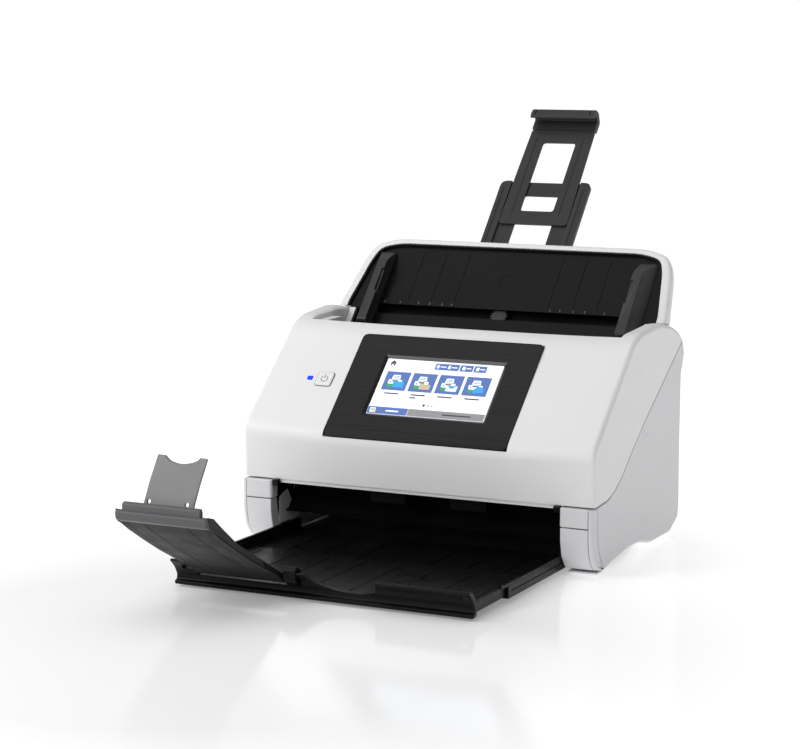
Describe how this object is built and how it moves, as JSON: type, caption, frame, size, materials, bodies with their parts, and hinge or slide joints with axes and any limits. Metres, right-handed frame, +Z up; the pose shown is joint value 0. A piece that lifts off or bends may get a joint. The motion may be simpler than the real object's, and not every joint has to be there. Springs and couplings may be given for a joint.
{
  "type": "sheet fed document scanner",
  "caption": "Desktop sheet fed document scanner with a sloped control panel, raised input tray with edge guides, and a sliding output tray with a folding stacker arm.",
  "frame": {"origin": "middle of the footprint with both trays out, on the surface that the feet stand on", "axes": "+X to the right seen from the front, +Y to the back, +Z up"},
  "size_m": [0.296, 0.5734, 0.3335],
  "materials": {
    "white": "satin textured",
    "white_side": "satin textured",
    "black": "fine matt",
    "panel_black": "brushed",
    "screen": "glossy",
    "lamp": "glossy",
    "grey": "fine matt",
    "light_grey": "fine matt",
    "steel": "brushed",
    "rubber": "matt",
    "gear": "satin",
    "board": "satin",
    "glass": "polished"
  },
  "bodies": {
    "base": {"base_pan": "grey", "front_foot_left": "rubber", "front_foot_right": "rubber", "rear_foot_left": "rubber", "rear_foot_right": "rubber", "left_side_cover": "white_side", "right_side_cover": "white_side", "left_front_post": "white_side", "right_front_post": "white_side", "left_post_cap": "white", "right_post_cap": "white", "left_rear_shoulder": "white", "right_rear_shoulder": "white", "left_frame_plate": "steel", "right_frame_plate": "steel", "rear_cover": "white", "dc_inlet": "black", "usb_socket": "steel", "network_socket": "steel", "main_board": "board", "lower_paper_guide": "black", "lower_scan_unit": "grey", "lower_scan_glass": "glass", "feed_motor": "grey", "input_tray_shell": "white", "input_tray_liner": "black"},
    "cover": {"front_cover": "white", "control_panel_frame": "panel_black", "touch_display": "screen", "status_lamp": "lamp", "cover_paper_guide": "black", "upper_scan_unit": "grey", "upper_scan_glass": "glass"},
    "power_button": {"power_button": "white"},
    "cover_lever": {"cover_lever": "white", "latch_shaft": "steel"},
    "separation_roller": {"separation_roller": "rubber"},
    "exit_idle_rollers": {"exit_idle_rollers": "rubber"},
    "pickup_roller": {"pickup_shaft_gear": "steel", "pickup_roller": "rubber"},
    "feed_roller": {"feed_shaft_gear": "steel", "feed_roller": "rubber"},
    "eject_roller": {"eject_shaft_gear": "steel", "eject_roller_left": "rubber", "eject_roller_right": "rubber"},
    "idler_gear_upper": {"idler_gear_upper": "gear"},
    "idler_gear_lower": {"idler_gear_lower": "gear"},
    "motor_pinion": {"motor_pinion": "gear"},
    "left_edge_guide": {"left_edge_guide": "grey"},
    "right_edge_guide": {"right_edge_guide": "grey"},
    "guide_pinion": {"guide_pinion": "gear"},
    "input_extension_lower": {"extension_plate_lower": "grey"},
    "input_extension_upper": {"extension_plate_upper": "grey", "extension_end_clip": "grey"},
    "output_tray_rear": {"output_tray_rear": "black"},
    "output_tray_front": {"output_tray_front": "black", "arm_hinge_pin": "steel"},
    "stacker_arm": {"stacker_arm": "grey", "arm_end_lip": "light_grey"},
    "stopper_flap": {"stopper_flap": "light_grey"}
  },
  "joints": [
    {"name": "cover_open", "type": "hinge", "parent": "base", "child": "cover", "pos_m": [0, -0.02254, 0.0505], "axis": [1, 0, 0], "range_deg": [0, 60]},
    {"name": "lever_lift", "type": "hinge", "parent": "cover", "child": "cover_lever", "pos_m": [0, 0.06496, 0.154], "axis": [1, 0, 0], "range_deg": [0, 15], "stiffness_Nm_per_rad": 0.15, "springref_deg": -11.46},
    {"name": "power_button_press", "type": "slide", "parent": "cover", "child": "power_button", "axis": [0, 0.6845, -0.729], "range_m": [0, 0.001], "stiffness_N_per_m": 300, "springref_m": -0.001},
    {"name": "feed_roller_spin", "type": "hinge", "parent": "base", "child": "feed_roller", "pos_m": [0, 0.07332, 0.09212], "axis": [1, 0, 0], "continuous": true},
    {"name": "pickup_roller_spin", "type": "hinge", "parent": "base", "child": "pickup_roller", "pos_m": [0, 0.10372, 0.12529], "axis": [1, 0, 0], "continuous": true},
    {"name": "eject_roller_spin", "type": "hinge", "parent": "base", "child": "eject_roller", "pos_m": [0, 0.0294, 0.04419], "axis": [1, 0, 0], "continuous": true},
    {"name": "idler_upper_spin", "type": "hinge", "parent": "base", "child": "idler_gear_upper", "pos_m": [0, 0.08852, 0.1087], "axis": [1, 0, 0], "continuous": true},
    {"name": "idler_lower_spin", "type": "hinge", "parent": "base", "child": "idler_gear_lower", "pos_m": [0, 0.05136, 0.06815], "axis": [1, 0, 0], "continuous": true},
    {"name": "motor_pinion_spin", "type": "hinge", "parent": "base", "child": "motor_pinion", "pos_m": [0, 0.08954, 0.07725], "axis": [1, 0, 0], "continuous": true},
    {"name": "separation_roller_spin", "type": "hinge", "parent": "cover", "child": "separation_roller", "pos_m": [0, 0.0596, 0.10468], "axis": [1, 0, 0], "continuous": true},
    {"name": "exit_idle_rollers_spin", "type": "hinge", "parent": "cover", "child": "exit_idle_rollers", "pos_m": [0, 0.0179, 0.05473], "axis": [1, 0, 0], "continuous": true},
    {"name": "left_guide_slide", "type": "slide", "parent": "base", "child": "left_edge_guide", "axis": [1, 0, 0], "range_m": [0, 0.08]},
    {"name": "right_guide_slide", "type": "slide", "parent": "base", "child": "right_edge_guide", "axis": [1, 0, 0], "range_m": [-0.08, 0]},
    {"name": "guide_pinion_spin", "type": "hinge", "parent": "base", "child": "guide_pinion", "pos_m": [0, 0.13994, 0.16941], "axis": [0, -0.7373, 0.6756], "range_deg": [0, 575]},
    {"name": "extension_lower_slide", "type": "slide", "parent": "base", "child": "input_extension_lower", "axis": [0, 0.6756, 0.7373], "range_m": [-0.06, 0]},
    {"name": "extension_upper_slide", "type": "slide", "parent": "input_extension_lower", "child": "input_extension_upper", "axis": [0, 0.6756, 0.7373], "range_m": [-0.056, 0]},
    {"name": "output_tray_rear_slide", "type": "slide", "parent": "base", "child": "output_tray_rear", "axis": [0, 1, 0], "range_m": [0, 0.095]},
    {"name": "output_tray_front_slide", "type": "slide", "parent": "output_tray_rear", "child": "output_tray_front", "axis": [0, 1, 0], "range_m": [0, 0.048]},
    {"name": "arm_fold", "type": "hinge", "parent": "output_tray_front", "child": "stacker_arm", "pos_m": [0, -0.17704, 0.016], "axis": [1, 0, 0], "range_deg": [-147, 0]},
    {"name": "flap_fold", "type": "hinge", "parent": "stacker_arm", "child": "stopper_flap", "pos_m": [0, -0.27604, 0.0802], "axis": [1, 0, 0], "range_deg": [-84.4, 0]}
  ],
  "couplings": [
    {"joint": "pickup_roller_spin", "follows": "feed_roller_spin", "ratio": 1},
    {"joint": "eject_roller_spin", "follows": "feed_roller_spin", "ratio": 1},
    {"joint": "idler_upper_spin", "follows": "feed_roller_spin", "ratio": -2},
    {"joint": "idler_lower_spin", "follows": "feed_roller_spin", "ratio": -0.85714},
    {"joint": "motor_pinion_spin", "follows": "feed_roller_spin", "ratio": -2.1429},
    {"joint": "separation_roller_spin", "follows": "feed_roller_spin", "ratio": -1},
    {"joint": "exit_idle_rollers_spin", "follows": "feed_roller_spin", "ratio": -1.5},
    {"joint": "right_guide_slide", "follows": "left_guide_slide", "ratio": -1},
    {"joint": "guide_pinion_spin", "follows": "left_guide_slide", "rad_per_m": 125},
    {"joint": "flap_fold", "follows": "arm_fold", "ratio": 0.573}
  ]
}
